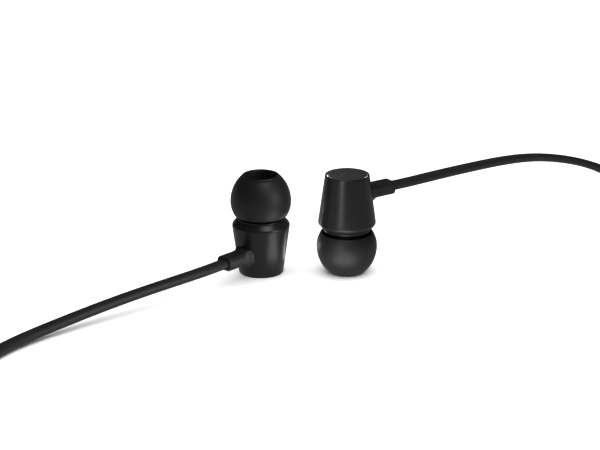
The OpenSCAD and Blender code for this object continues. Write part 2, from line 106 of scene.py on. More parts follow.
def smooth(points, steps):
    """The route's points, in millimetres, as a smooth row of points in metres."""
    p = [Vector(q) * MM for q in points]
    m = slopes(p)
    row = []
    for a, b, u, v in zip(p, p[1:], m, m[1:]):
        for k in range(steps):
            t = k / steps
            row.append(a * (1 + 2 * t) * (1 - t) ** 2 + u * t * (1 - t) ** 2
                       + b * t**2 * (3 - 2 * t) + v * t**2 * (t - 1))
    return row + [p[-1]]


def length_of(row):
    """The length along a row of points."""
    return sum((b - a).length for a, b in zip(row, row[1:]))

# %% A mesh from rings of points
def new_piece(name, verts, faces):
    """A smooth mesh object at the origin, its faces turned outwards and its doubles merged."""
    mesh = bpy.data.meshes.new(name)
    mesh.from_pydata([tuple(v) for v in verts], [], faces)
    bm = bmesh.new()
    bm.from_mesh(mesh)
    bmesh.ops.remove_doubles(bm, verts=bm.verts, dist=0.0005 * MM)
    bmesh.ops.recalc_face_normals(bm, faces=bm.faces)
    bm.to_mesh(mesh)
    bm.free()
    mesh.shade_smooth()
    return put(name, mesh)


def sharpen(piece, degrees):
    """Draws an edge sharp where its faces meet at a wider angle than this."""
    piece.data.set_sharp_from_angle(angle=math.radians(degrees))


def skin(name, rings, sharp=40):
    """A closed solid through rings that all have the same number of points."""
    n = len(rings[0])
    faces = [tuple(range(n))[::-1], tuple(range((len(rings) - 1) * n, len(rings) * n))]
    for k in range(len(rings) - 1):
        for i in range(n):
            a, b = k * n + i, k * n + (i + 1) % n
            faces.append((a, b, b + n, a + n))
    piece = new_piece(name, [v for ring in rings for v in ring], faces)
    sharpen(piece, sharp)
    return piece

# %% The outline of a flat cord
def around(n):
    """The cosine and the sine of n equal steps round a circle."""
    return [(math.cos(math.tau * i / n), math.sin(math.tau * i / n)) for i in range(n)]


def oval(width, thick, sides=24, power=2.6):
    """A rounded oval, wider than it is thick, as (across, up) pairs in metres."""
    ring = []
    for c, s in around(sides):
        ring.append((math.copysign(abs(c) ** (2 / power), c) * width / 2,
                     math.copysign(abs(s) ** (2 / power), s) * thick / 2))
    return ring


def sweep(name, row, section):
    """A flat cord along a row of points, its wide side level. The attribute "straightened" keeps
    where each point would be if the cord lay straight along X, for patterns that follow it."""
    rings, straight, run = [], [], 0
    for k, p in enumerate(row):
        run += (p - row[k - 1]).length if k else 0
        ahead = (row[min(k + 1, len(row) - 1)] - row[max(k - 1, 0)]).normalized()
        side = ahead.cross(Vector((0, 0, 1))).normalized()
        top = side.cross(ahead)
        rings.append([p + side * x + top * y for x, y in section])
        straight += [(run, x, y) for x, y in section]
    piece = skin(name, rings)
    laid = piece.data.attributes.new("straightened", "FLOAT_VECTOR", "POINT")
    laid.data.foreach_set("vector", [value for point in straight for value in point])
    return piece

# %% Routes of the cords, in millimetres
LEFT_ROUTE = [
    (-15.8, -7.9, 4.45), (-20, -12.4, 4.35), (-26.5, -17.7, 3.9), (-33.5, -22.9, 3.2),
    (-40.5, -28.5, 2.4), (-47, -34.4, 1.7), (-53.2, -41.2, 1.2), (-57.8, -49, 0.95),
    (-60.3, -58, 0.9), (-61, -68, 0.9), (-61, -78, 0.9), (-61, -88, 0.9), (-61, -98, 0.9),
    (-61, -108, 0.9), (-60, -117.4, 0.9), (-55.8, -125.6, 0.9), (-48, -129.6, 0.9),
    (-40.6, -125.4, 0.9), (-38, -116.4, 0.9), (-37.2, -107, 0.9), (-35.2, -98.4, 0.9),
    (-29.2, -93, 0.9), (-22.4, -95.8, 0.9), (-17.6, -101.8, 0.9), (-11.2, -104, 0.9),
    (-5.2, -100.6, 0.9), (0.8, -95.8, 0.9), (8, -92.8, 0.9), (16, -92.2, 0.9),
    (23.8, -93.8, 0.9), (30.6, -97.8, 0.9), (35.2, -104, 0.9), (36.4, -111.5, 0.95),
]
RIGHT_ROUTE = [
    (17.4, 6.1, 16.15), (22, 9.5, 16.1), (28.5, 15.4, 15.8), (35, 21.9, 15.2), (41, 28.6, 14.3),
    (47, 35.6, 13), (53, 42.6, 11.1), (59.5, 48.7, 8.7), (66.3, 52.3, 6), (72, 50.2, 3.6),
    (74.3, 44, 2.1), (74.2, 36, 1.25), (73.4, 27, 0.95), (72.1, 17.5, 0.9), (70.7, 8, 0.9),
    (69.3, -1.5, 0.9), (67.9, -11, 0.9), (66.5, -20.5, 0.9), (65.2, -30, 0.9), (64, -39.5, 0.9),
    (63, -49, 0.9), (62.4, -58.5, 0.9), (62.6, -68, 0.9), (64, -77.5, 0.9), (66.4, -86.5, 0.9),
    (69, -95, 0.9), (70.4, -103, 0.9), (68.4, -110.2, 0.9), (62.4, -113.4, 0.9),
    (56.8, -109.8, 0.9), (54.4, -102.8, 0.9), (49.4, -98.2, 0.9), (43.2, -99.2, 0.9),
    (40, -105, 0.9), (39.6, -111.5, 0.95),
]
LEAD_ROUTE = [
    (38, -125.5, 1), (37.8, -129, 0.95), (36.2, -132.3, 0.95), (33, -134.4, 1),
    (28, -135.7, 1.1), (22.6, -137, 1.25), (17.1, -138.4, 1.4),
]
TAIL_ROUTE = [
    (12, -139, 5.15), (5, -138.8, 5.1), (-2, -138.5, 4.95), (-8.5, -138.1, 4.6),
    (-15, -137.7, 3.7), (-23, -137.5, 3),
]

# %% [markdown]
# ## The coil
#
# The trunk is wound in nine turns, three side by side and three high. One turn lies in one cell of
# that stack. The cord steps to the next cell near the end of each turn, where a real one crosses over
# too, and each step starts a little before the one behind it, so that its cell is free by then.

# %% Turns of the coil
COIL_AT = Vector((12, -119.5, 0))
COIL_MID_R = 16.5
COIL_LIFT = 0.52
ACROSS = 3.05
UP = 1.85
OUTER, MIDDLE, INNER = 1, 0, -1
CELLS = [(OUTER, 0), (MIDDLE, 0), (INNER, 0), (INNER, 1), (INNER, 2), (MIDDLE, 2), (MIDDLE, 1),
         (OUTER, 1), (OUTER, 2)]
STEPS_BEFORE = [5, 5, 4, 4, 3, 2, 1, 0]
FIRST_STEP_AT, STEP_ANGLE = 45, 46
START_ANGLE = -75
WOUND = 8 * 360 + 15
POINT_ANGLE = 7.5


def coil_point(wound):
    """The point of the coil after so many degrees of winding, in millimetres."""
    turn = min(int(wound // 360), len(CELLS) - 1)
    (r0, z0), (r1, z1) = CELLS[turn], CELLS[min(turn + 1, len(CELLS) - 1)]
    step = 0
    if turn < len(STEPS_BEFORE):
        step_at = FIRST_STEP_AT + STEP_ANGLE * STEPS_BEFORE[turn]
        step = min(max((wound % 360 - step_at) / STEP_ANGLE, 0), 1)
        step = step * step * (3 - 2 * step)
    r = COIL_MID_R + ACROSS * (r0 + (r1 - r0) * step)
    z = COIL_LIFT + UP * (z0 + (z1 - z0) * step + 0.5)
    angle = math.radians(START_ANGLE - wound)
    return COIL_AT + Vector((r * math.cos(angle), r * math.sin(angle), z))


coil_points = [coil_point(POINT_ANGLE * k) for k in range(1, math.ceil(WOUND / POINT_ANGLE))]
trunk_row = (smooth(LEAD_ROUTE, 4)[:-1] + [p * MM for p in coil_points]
             + smooth(TAIL_ROUTE, 4)[1:])
print("trunk length, mm:", round(length_of(trunk_row) / MM))

# %% [markdown]
# ## The cords' pieces
#
# Each cord stands for plain solids of the mechanical model and rides on the body that holds them.
# The trunk stands for three: the lead into the coil, the coil itself and the tail to the plug.

# %% Make the cords
CORD_W, CORD_T, TRUNK_W = 2.7, 1.8, 3.0
ROOT_BODY = "buds_and_cord"
left_row = smooth(LEFT_ROUTE, 4)
right_row = smooth(RIGHT_ROUTE, 4)
branch = oval(CORD_W * MM, CORD_T * MM)
cords = {
    "branch_cord_left": sweep("branch_cord_left", left_row, branch),
    "branch_cord_right": sweep("branch_cord_right", right_row, branch),
    "trunk_cord": sweep("trunk_cord", trunk_row, oval(TRUNK_W * MM, CORD_T * MM)),
}
for name, piece in cords.items():
    print(name, len(piece.data.polygons), "faces")
print("branches, mm:", round(length_of(left_row) / MM), round(length_of(right_row) / MM))
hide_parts("cord_left")
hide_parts("cord_right")
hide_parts("trunk_lead", "trunk_coil", "trunk_tail")
for piece in cords.values():
    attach(piece, ROOT_BODY)

# %% [markdown]
# ## Finishes
#
# A satin black part is never one flat black: the bead blasting, the mould and the hand each leave a
# trace. Three small node groups hold those traces, so that every material can use them with its own
# values. They only put out tones, masks and normals; the shader itself stays in each material.

# %% Nodes, their inputs and their groups
def fill(tree, node, inputs):
    """Sets a node's inputs: a socket is linked and anything else is typed in."""
    for name, value in inputs.items():
        if isinstance(value, bpy.types.NodeSocket):
            tree.links.new(value, node.inputs[name])
        else:
            node.inputs[name].default_value = value


def add(tree, kind, inputs=(), **settings):
    """A new node, with its own settings and its inputs."""
    node = tree.nodes.new(kind)
    for name, value in settings.items():
        setattr(node, name, value)
    fill(tree, node, dict(inputs))
    return node


def new_group(name, inputs, outputs, kind="ShaderNodeTree"):
    """An empty node group, the sockets that come into it, and its output node."""
    group = bpy.data.node_groups.new(name, kind)
    for socket, what, *value in inputs:
        made = group.interface.new_socket(socket, in_out="INPUT", socket_type=f"NodeSocket{what}")
        if value:
            made.default_value = value[0]
    for socket, what in outputs:
        group.interface.new_socket(socket, in_out="OUTPUT", socket_type=f"NodeSocket{what}")
    return group, add(group, "NodeGroupInput").outputs, add(group, "NodeGroupOutput")


# %% Sums inside a tree
def maths(tree, operation, *values):
    """The result of a Math node on sockets and numbers."""
    return add(tree, "ShaderNodeMath", enumerate(values), operation=operation).outputs[0]


def vector_maths(tree, operation, *values):
    """The same for a Vector Math node."""
    node = add(tree, "ShaderNodeVectorMath", enumerate(values), operation=operation)
    return node.outputs["Value" if operation in ("DOT_PRODUCT", "LENGTH") else "Vector"]


def scaled(tree, vector, scale):
    """A vector, or a colour, times a number."""
    return add(tree, "ShaderNodeVectorMath", {0: vector, "Scale": scale},
               operation="SCALE").outputs[0]


def combine(tree, **axes):
    return add(tree, "ShaderNodeCombineXYZ", axes).outputs[0]


def noise(tree, vector, scale, detail=2.0, rough=0.5):
    return add(tree, "ShaderNodeTexNoise", {"Vector": vector, "Scale": scale, "Detail": detail,
                                            "Roughness": rough}).outputs["Fac"]

# %% Fine grain, from blasting or from a mould
CLOUDS_TO_GRAIN = 0.03
grain_group, given, result = new_group(
    "fine_grain", [("Vector", "Vector"), ("Grain per metre", "Float", 6000.0)],
    [("Height", "Float"), ("Tone", "Float")])
fine = noise(grain_group, given["Vector"], given["Grain per metre"], 3.0, 0.6)
cloud_scale = maths(grain_group, "MULTIPLY", given["Grain per metre"], CLOUDS_TO_GRAIN)
clouds = noise(grain_group, given["Vector"], cloud_scale, 4.0, 0.55)
fill(grain_group, result, {"Height": fine, "Tone": clouds})
print("fine_grain:", len(grain_group.nodes), "nodes")

# %% Dust and small specks, which gather on what faces up
DUST_ON_SIDES, PATCHES_PER_METRE = 0.15, 700.0
dust_group, given, result = new_group(
    "dust_specks", [("Vector", "Vector"), ("Specks per metre", "Float", 2600.0),
                    ("Amount", "Float", 0.2)], [("Mask", "Float")])
cells = add(dust_group, "ShaderNodeTexVoronoi",
            {"Vector": given["Vector"], "Scale": given["Specks per metre"]}, feature="F1")
normal = add(dust_group, "ShaderNodeNewGeometry").outputs["Normal"]
faces_up = add(dust_group, "ShaderNodeSeparateXYZ", {0: normal})
upward = maths(dust_group, "MAXIMUM", faces_up.outputs["Z"], DUST_ON_SIDES)
patches = noise(dust_group, given["Vector"], PATCHES_PER_METRE)
speck = maths(dust_group, "LESS_THAN", cells.outputs["Distance"],
              maths(dust_group, "MULTIPLY", given["Amount"], patches))
fill(dust_group, result, {"Mask": maths(dust_group, "MULTIPLY", speck, upward)})
print("dust_specks:", len(dust_group.nodes), "nodes")

# %% Rings left by turning, round an axis through the origin of the vector
rings_group, given, result = new_group(
    "turned_rings", [("Vector", "Vector"), ("Axis", "Vector", (0, 0, 1)),
                     ("Rings per metre", "Float", 9000.0), ("Slope", "Float", 0.2)],
    [("Normal", "Vector"), ("Tone", "Float")])
height = vector_maths(rings_group, "DOT_PRODUCT", given["Vector"], given["Axis"])
level = vector_maths(rings_group, "SUBTRACT", given["Vector"],
                     scaled(rings_group, given["Axis"], height))
radius = combine(rings_group, X=vector_maths(rings_group, "LENGTH", level))
groove = noise(rings_group, radius, given["Rings per metre"], 2.0, 0.7)
lean = maths(rings_group, "MULTIPLY", maths(rings_group, "SUBTRACT", groove, 0.5), given["Slope"])
outwards = scaled(rings_group, vector_maths(rings_group, "NORMALIZE", level), lean)
normal = add(rings_group, "ShaderNodeNewGeometry").outputs["Normal"]
tilted = vector_maths(rings_group, "NORMALIZE", vector_maths(rings_group, "ADD", normal, outwards))
fill(rings_group, result, {"Normal": tilted, "Tone": groove})
print("turned_rings:", len(rings_group.nodes), "nodes")

# %% [markdown]
# One function then makes each material from these groups. The base colour and roughness vary a little
# with the tone, the grain goes through a Bump node, and the rings, where a piece is turned, replace
# its normal. The coordinates are the object's own, so the grain keeps one size.

# %% A material from the groups
DUST_COLOR = (0.12, 0.12, 0.115, 1)
DRAWN_OUT = (0.08, 1, 1)
COAT_ROUGH, SHEEN_ROUGH = 0.3, 0.4
RING_ROUGH_SPAN, RING_ROUGH_LOW = 0.6, 0.7


def place_group(tree, group, vector, **values):
    """A group in a material's tree; an underscore in a value's name stands for a space."""
    named = {name.replace("_", " "): value for name, value in values.items()}
    return add(tree, "ShaderNodeGroup", {"Vector": vector, **named}, node_tree=group).outputs


def finish(name, color, rough, metal=0.0, grain=6000.0, depth=4e-6, uneven=0.25, dust=0.0,
           rings=None, along=False, coat=0.0, sheen=0.0):
    """A material: a colour that clouds lighten and darken, grain, dust and, for a turned piece, rings.
    rings is (centre, axis, rings per metre, slope); along reads a cord's straightened coordinates."""
    material = bpy.data.materials.new(name)
    material.use_nodes = True
    tree = material.node_tree
    vector = add(tree, "ShaderNodeTexCoord").outputs["Object"]
    if along:
        source = add(tree, "ShaderNodeAttribute", attribute_name="straightened")
        vector = add(tree, "ShaderNodeMapping", {"Vector": source.outputs["Vector"],
                                                 "Scale": DRAWN_OUT}).outputs[0]
    traces = place_group(tree, grain_group, vector, Grain_per_metre=grain)
    tone = maths(tree, "MULTIPLY_ADD", maths(tree, "SUBTRACT", traces["Tone"], 0.5), 2 * uneven, 1.0)
    base = scaled(tree, color, tone)
    roughness = maths(tree, "MULTIPLY", tone, rough)
    if dust:
        mix = tree.nodes.new("ShaderNodeMix")
        mix.data_type = "RGBA"
        sockets = {socket.identifier: socket for socket in mix.inputs}
        mask = place_group(tree, dust_group, vector, Amount=dust)["Mask"]
        tree.links.new(mask, sockets["Factor_Float"])
        tree.links.new(base, sockets["A_Color"])
        sockets["B_Color"].default_value = DUST_COLOR
        base = next(socket for socket in mix.outputs if socket.identifier == "Result_Color")
    bump = add(tree, "ShaderNodeBump", {"Distance": depth, "Height": traces["Height"]})
    if rings:
        centre, axis, per_metre, slope = rings
        to_axis = add(tree, "ShaderNodeMapping", {"Vector": vector, "Location": centre},
                      vector_type="TEXTURE")
        turned = place_group(tree, rings_group, to_axis.outputs[0], Axis=axis,
                             Rings_per_metre=per_metre, Slope=slope)
        fill(tree, bump, {"Normal": turned["Normal"]})
        worn = maths(tree, "MULTIPLY_ADD", turned["Tone"], RING_ROUGH_SPAN, RING_ROUGH_LOW)
        roughness = maths(tree, "MULTIPLY", roughness, worn)
    fill(tree, tree.nodes["Principled BSDF"], {
        "Base Color": base, "Roughness": roughness, "Normal": bump.outputs[0], "Metallic": metal,
        "Coat Weight": coat, "Coat Roughness": COAT_ROUGH, "Sheen Weight": sheen,
        "Sheen Roughness": SHEEN_ROUGH})
    return material

# %% [markdown]
# ## Where each bud stands
#
# Both buds are one design, so each piece is made once in the bud's own frame: back face at zero, ear
# tip upwards, cord leaving along X. A matrix for each bud then puts its points in their place, and
# the object itself stays at the origin. The right bud is the same one turned over.

# %% Frames of the buds
SIDES = ("left", "right")
TIP_BODY = {"left": "left_tip", "right": "right_tip"}


def middle(node):
    low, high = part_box(node)
    return (low + high) / 2


def axis_of(side):
    centre = middle(f"end_cap_{side}")
    return Vector((centre.x, centre.y, 0))


BUD_PLACE = {
    "left": Matrix.Translation(axis_of("left")) @ Matrix.Rotation(math.radians(228), 4, "Z"),
    "right": (Matrix.Translation(axis_of("right") + Vector((0, 0, BUD_TOP)))
              @ Matrix.Rotation(math.radians(35), 4, "Z") @ Matrix.Rotation(math.pi, 4, "X")),
}
print("axes of the buds, mm:", [round(axis_of(side).x / MM, 2) for side in SIDES])

# %% [markdown]
# ## Turned and lofted shapes
#
# Most of the bud is turned, so its pieces are outlines spun round an axis. Every corner of an outline
# has its own small radius, because light runs along a rounded edge and stops dead at a sharp one.
# Long straight stretches are cut into short ones, which keeps the shading of the round even.

# %% Outlines with rounded corners
def rounded(points, steps=6):
    """A closed outline through (x, y, radius) points, each corner rounded."""
    ring = []
    for k, (x, y, r) in enumerate(points):
        here = Vector((x, y))
        if r == 0:
            ring.append(here)
            continue
        u = (Vector(points[k - 1][:2]) - here).normalized()
        v = (Vector(points[(k + 1) % len(points)][:2]) - here).normalized()
        half = u.angle(v) / 2
        centre = here + (u + v).normalized() * r / math.sin(half)
        start = here + u * r / math.tan(half) - centre
        turn = start.angle_signed(here + v * r / math.tan(half) - centre)
        for i in range(steps + 1):
            ring.append(centre + Matrix.Rotation(-turn * i / steps, 2) @ start)
    return [tuple(p) for p in ring]


def arc(r, axis, z, start, end, steps):
    """Part of an ellipse round (0, z), as points."""
    angles = [math.radians(start + (end - start) * i / steps) for i in range(steps + 1)]
    return [(r * math.cos(a), z + axis * math.sin(a)) for a in angles]


def pill(w, h, r, steps=8):
    """A rounded rectangle, w by h."""
    return rounded([(w / 2, h / 2, r), (-w / 2, h / 2, r), (-w / 2, -h / 2, r),
                    (w / 2, -h / 2, r)], steps)

# %% Spin an outline
NO_RADIUS = 1e-6


def spun(name, outline, place, steps=144, sharp=35, longest=1.0):
    """A turned piece from an outline of (radius, height) points, in millimetres. It closes in itself,
    or at the axis where its ends have no radius."""
    closed = outline[0][0] > NO_RADIUS
    ends = zip(outline, outline[1:] + outline[:1]) if closed else zip(outline, outline[1:])
    path = []
    for a, b in ends:
        parts = max(1, math.ceil(math.dist(a, b) / longest))
        path += [(a[0] + (b[0] - a[0]) * i / parts, a[1] + (b[1] - a[1]) * i / parts)
                 for i in range(parts)]
    if not closed:
        path.append(outline[-1])
    verts, rows = [], []
    for r, z in path:
        circle = around(steps if r > NO_RADIUS else 1)
        rows.append([len(verts) + i for i in range(len(circle))])
        verts += [place @ (Vector((r * c, r * s, z)) * MM) for c, s in circle]
    faces = []
    for a, b in zip(rows, rows[1:] + (rows[:1] if closed else [])):
        for i in range(steps):
            j = (i + 1) % steps
            if len(a) > 1 and len(b) > 1:
                faces.append((a[i], a[j], b[j], b[i]))
            elif len(b) > 1:
                faces.append((a[0], b[j], b[i]))
            elif len(a) > 1:
                faces.append((a[i], a[j], b[0]))
    piece = new_piece(name, verts, faces)
    sharpen(piece, sharp)
    return piece


def settle(piece, material, slot, body, *nodes):
    """Gives a piece its finish, the body that carries it and the CAD nodes that it stands for."""
    piece.data.materials.clear()
    piece.data.materials.append(material)
    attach(piece, body)
    if nodes:
        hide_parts(*nodes)
    print(f"{piece.name}: {len(piece.data.polygons)} faces")
    return piece

# %% [markdown]
# ## Housing
#
# The housing is turned from aluminium, bead blasted and anodised black: a cone that widens towards
# the ear, a bevelled shoulder, and a thin lip round the back cap. It is spun as a real shell with its
# chamber, and a boolean then cuts the pocket that the strain relief sits in.

# %% Housing sizes, in millimetres
BACK_R, WIDE_R, FACE_R = 4.5, 5.9, 4.95
WIDE_Z, HOUSING_LEN = 10.2, 11.3
CAP_R, CAP_T, CHAMBER_R, BORE_R, SEAT_Z = 4.2, 0.8, 3.9, 4.45, 7.9
RELIEF_Z, RELIEF_REACH = 4.45, 11.0
RELIEF_W, RELIEF_H, RELIEF_FLARE = 3.7, 2.8, 0.5
RELIEF_ROUND = 0.9
POCKET_X, WALL_X = 4.4385, 5.1108
STUB_X, STUB_R, STUB_SIDES = 3.0, 1.35, 40
CUT_FROM, CUT_TO = 2, 8
GAP = 0.02

HOUSING_OUTLINE = rounded([
    (CAP_R, 0, 0.06), (BACK_R, 0, 0.12), (WIDE_R, WIDE_Z, 0.8), (FACE_R, HOUSING_LEN, 0.1),
    (BORE_R, HOUSING_LEN, 0.05), (BORE_R, SEAT_Z, 0), (CHAMBER_R, SEAT_Z, 0),
    (CHAMBER_R, CAP_T, 0), (CAP_R, CAP_T, 0)], 8)


def at_relief(x, ring, place):
    """An outline across the strain relief's axis, put at distance x from the bud's axis."""
    return [place @ (Vector((x, -p[0], RELIEF_Z + p[1])) * MM) for p in ring]


def cut(piece, tool):
    """Takes the tool out of the piece and deletes the tool."""
    boolean = piece.modifiers.new("cut", "BOOLEAN")
    boolean.object = tool
    boolean.solver = "EXACT"
    graph = bpy.context.evaluated_depsgraph_get()
    result = bpy.data.meshes.new_from_object(piece.evaluated_get(graph))
    piece.modifiers.clear()
    piece.data = result
    bpy.data.objects.remove(tool)
    piece.data.shade_smooth()
    sharpen(piece, 35)


housings = {}
for side, place in BUD_PLACE.items():
    shell = spun(f"housing_shell_{side}", HOUSING_OUTLINE, place)
    pocket = pill(RELIEF_W + 2 * RELIEF_FLARE + 2 * GAP, RELIEF_H + 2 * RELIEF_FLARE + 2 * GAP,
                  RELIEF_ROUND)
    stub = [((STUB_R + GAP) * c, (STUB_R + GAP) * s) for c, s in around(STUB_SIDES)]
    cut(shell, skin("pocket", [at_relief(x, pocket, place) for x in (POCKET_X, CUT_TO)]))
    cut(shell, skin("stub", [at_relief(x, stub, place) for x in (CUT_FROM, CUT_TO)]))
    housings[side] = shell

blasted_black = finish("blasted_black", (0.023, 0.023, 0.024), 0.3, grain=9000,
                       depth=2.5e-6, uneven=0.16, dust=0.08)
for side in SIDES:
    settle(housings[side], blasted_black, "housing_metal", ROOT_BODY, f"housing_{side}")

# %% [markdown]
# ## Back cap
#
# The cap is a disc that was faced in a lathe, so its fine rings throw the light out in fans. The rings
# are far too fine for the mesh. They tilt the normal in and out along the radius, which gives the
# same fans from any side, where a painted fan would only suit one.

# %% Back cap
CAP_OUTLINE = rounded([(0, 0, 0), (CAP_R - GAP, 0, 0.12), (CAP_R - GAP, CAP_T, 0),
                       (0, CAP_T, 0)])
for side, place in BUD_PLACE.items():
    disc = spun(f"spun_cap_{side}", CAP_OUTLINE, place)
    faced = finish(f"faced_metal_{side}", (0.16, 0.16, 0.163), 0.26, metal=1.0, grain=12000,
                   depth=1e-6, uneven=0.1, rings=(axis_of(side), (0, 0, 1), 9000, 0.8))
    settle(disc, faced, "cap_metal", ROOT_BODY, f"end_cap_{side}")

# %% [markdown]
# ## Sound tube, barb and woven mesh
#
# The front cover carries the tube that the ear tip grips. Its barb is wider than the tube, and the
# silicone stretches over it. The mesh that keeps wax out is really woven: one set of wires dips over
# and under the other. Geometry Nodes suit it, because a wire is one curve, repeated at a pitch.

# %% Front cover
NOZZLE_R, NOZZLE_BORE, NOZZLE_TOP, BARB_R = 2.6, 2.1, 16.3, 2.9
MESH_R, MESH_T, FLANGE_R, FLANGE_Z = 2.35, 0.15, 4.8, 11.6
SPIGOT_IN, SPIGOT_OUT, SPIGOT_Z, PLATE_Z = 3.93, 4.43, 10.5, 11.1
BARB_FROM, BARB_FULL, BARB_TO = (NOZZLE_TOP - below for below in (1.4, 1.1, 0.7))
COVER_OUTLINE = rounded([
    (NOZZLE_BORE, PLATE_Z, 0), (SPIGOT_IN, PLATE_Z, 0), (SPIGOT_IN, SPIGOT_Z, 0),
    (SPIGOT_OUT, SPIGOT_Z, 0.05), (SPIGOT_OUT, HOUSING_LEN, 0), (FLANGE_R, HOUSING_LEN, 0),
    (FLANGE_R, FLANGE_Z, 0.08), (NOZZLE_R, FLANGE_Z, 0.12), (NOZZLE_R, BARB_FROM, 0.05),
    (BARB_R, BARB_FULL, 0.08), (BARB_R, BARB_TO, 0.1), (NOZZLE_R, NOZZLE_TOP, 0.08),
    (MESH_R, NOZZLE_TOP, 0.03), (MESH_R, NOZZLE_TOP - MESH_T, 0),
    (NOZZLE_BORE, NOZZLE_TOP - MESH_T, 0)])
for side, place in BUD_PLACE.items():
    settle(spun(f"sound_tube_{side}", COVER_OUTLINE, place), blasted_black, "housing_metal",
           ROOT_BODY, f"front_cover_{side}")

# %% A tree that weaves a round mesh
WIRE_SIDES, POINTS_PER_WIRE = 6, 4.0


def painted(tree, geometry, material, result):
    """Makes instances real, gives them their material and sends them out of the tree."""
    whole = add(tree, "GeometryNodeRealizeInstances", {0: geometry})
    paint = add(tree, "GeometryNodeSetMaterial", {"Geometry": whole.outputs[0],
                                                  "Material": material})
    fill(tree, result, {0: paint.outputs[0]})
    return tree


def weave_tree():
    """Geometry Nodes: wavy wires side by side, once along X and once along Y, cut to a circle."""
    tree, given, result = new_group(
        "woven_mesh", [("Radius", "Float"), ("Pitch", "Float"), ("Wire", "Float"), ("Count", "Int"),
                       ("Finish", "Material")], [("Mesh", "Geometry")], "GeometryNodeTree")
    join = add(tree, "GeometryNodeJoinGeometry")
    wire_r = maths(tree, "MULTIPLY", given["Wire"], 0.5)
    points = maths(tree, "MULTIPLY_ADD", given["Count"], POINTS_PER_WIRE, 1.0)
    first = maths(tree, "MULTIPLY", maths(tree, "SUBTRACT", given["Count"], 1.0), -0.5)
    for quarter in (0, 1):
        line = add(tree, "GeometryNodeCurvePrimitiveLine", {
            "Start": combine(tree, X=maths(tree, "MULTIPLY", given["Radius"], -1.0)),
            "End": combine(tree, X=given["Radius"])})
        fine_line = add(tree, "GeometryNodeResampleCurve", {"Curve": line.outputs[0],
                                                            "Count": points})
        row = add(tree, "GeometryNodeMeshLine", {
            "Count": given["Count"], "Offset": combine(tree, Y=given["Pitch"]),
            "Start Location": combine(tree, Y=maths(tree, "MULTIPLY", first, given["Pitch"]))})
        wires = add(tree, "GeometryNodeInstanceOnPoints", {"Points": row.outputs[0],
                                                           "Instance": fine_line.outputs[0]})
        real = add(tree, "GeometryNodeRealizeInstances", {0: wires.outputs[0]})

        # Height of a wire: a wave along it, turned over from one wire to the next
        place = add(tree, "GeometryNodeInputPosition").outputs[0]
        parts = add(tree, "ShaderNodeSeparateXYZ", {0: place}).outputs
        along = maths(tree, "DIVIDE", parts["X"], given["Pitch"])
        across = maths(tree, "DIVIDE", parts["Y"], given["Pitch"])
        phase = maths(tree, "ADD", maths(tree, "ADD", along, across), float(quarter))
        wave = maths(tree, "COSINE", maths(tree, "MULTIPLY", phase, math.pi))
        rise = combine(tree, Z=maths(tree, "MULTIPLY", wave, wire_r))
        wavy = add(tree, "GeometryNodeSetPosition", {"Geometry": real.outputs[0], "Offset": rise})

        beyond = maths(tree, "GREATER_THAN", vector_maths(tree, "LENGTH", place), given["Radius"])
        trim = add(tree, "GeometryNodeDeleteGeometry",
                   {"Geometry": wavy.outputs[0], "Selection": beyond}, domain="POINT")
        circle = add(tree, "GeometryNodeCurvePrimitiveCircle", {"Resolution": WIRE_SIDES,
                                                                "Radius": wire_r})
        solid = add(tree, "GeometryNodeCurveToMesh", {
            "Curve": trim.outputs[0], "Profile Curve": circle.outputs[0], "Fill Caps": True})
        turned = add(tree, "GeometryNodeTransform", {
            "Geometry": solid.outputs[0], "Rotation": (0, 0, quarter * math.pi / 2)})
        fill(tree, join, {0: turned.outputs[0]})
    return painted(tree, join.outputs[0], given["Finish"], result)


def grown(name, tree, place, **values):
    """Runs a Geometry Nodes tree with these inputs and returns its plain mesh, put in place."""
    maker = put(name, bpy.data.meshes.new(name))
    modifier = maker.modifiers.new("maker", "NODES")
    modifier.node_group = tree
    for socket in tree.interface.items_tree:
        if socket.in_out == "INPUT" and socket.name in values:
            modifier[socket.identifier] = values[socket.name]
    graph = bpy.context.evaluated_depsgraph_get()
    mesh = bpy.data.meshes.new_from_object(maker.evaluated_get(graph), depsgraph=graph)
    maker.modifiers.clear()
    maker.data = mesh
    mesh.transform(place)
    if place.determinant() < 0:
        mesh.flip_normals()
    mesh.shade_smooth()
    return maker

# %% Weave the meshes
WIRE, WIRE_PITCH, WIRE_COUNT = 0.07, 0.2, 23
mesh_wire = finish("mesh_wire", (0.32, 0.32, 0.33), 0.35, metal=1.0, grain=20000, depth=1e-6)
WEAVE = weave_tree()
for side, place in BUD_PLACE.items():
    lifted = place @ Matrix.Translation((0, 0, (NOZZLE_TOP - MESH_T / 2) * MM))
    woven = grown(f"woven_mesh_{side}", WEAVE, lifted, Radius=(MESH_R - GAP) * MM,
                  Pitch=WIRE_PITCH * MM, Wire=WIRE * MM, Count=WIRE_COUNT, Finish=mesh_wire)
    settle(woven, mesh_wire, "mesh_steel", ROOT_BODY, f"nozzle_mesh_{side}")

# %% [markdown]
# ## Ear tip
#
# The tip is one moulding of soft silicone: a dome that seals the ear, a skirt that hangs free, and a
# sleeve inside that grips the sound tube. It is spun from one closed outline, so that the thin skirt
# has a real inside. Silicone is matt and a little cloudy, so its highlights are broad and soft.

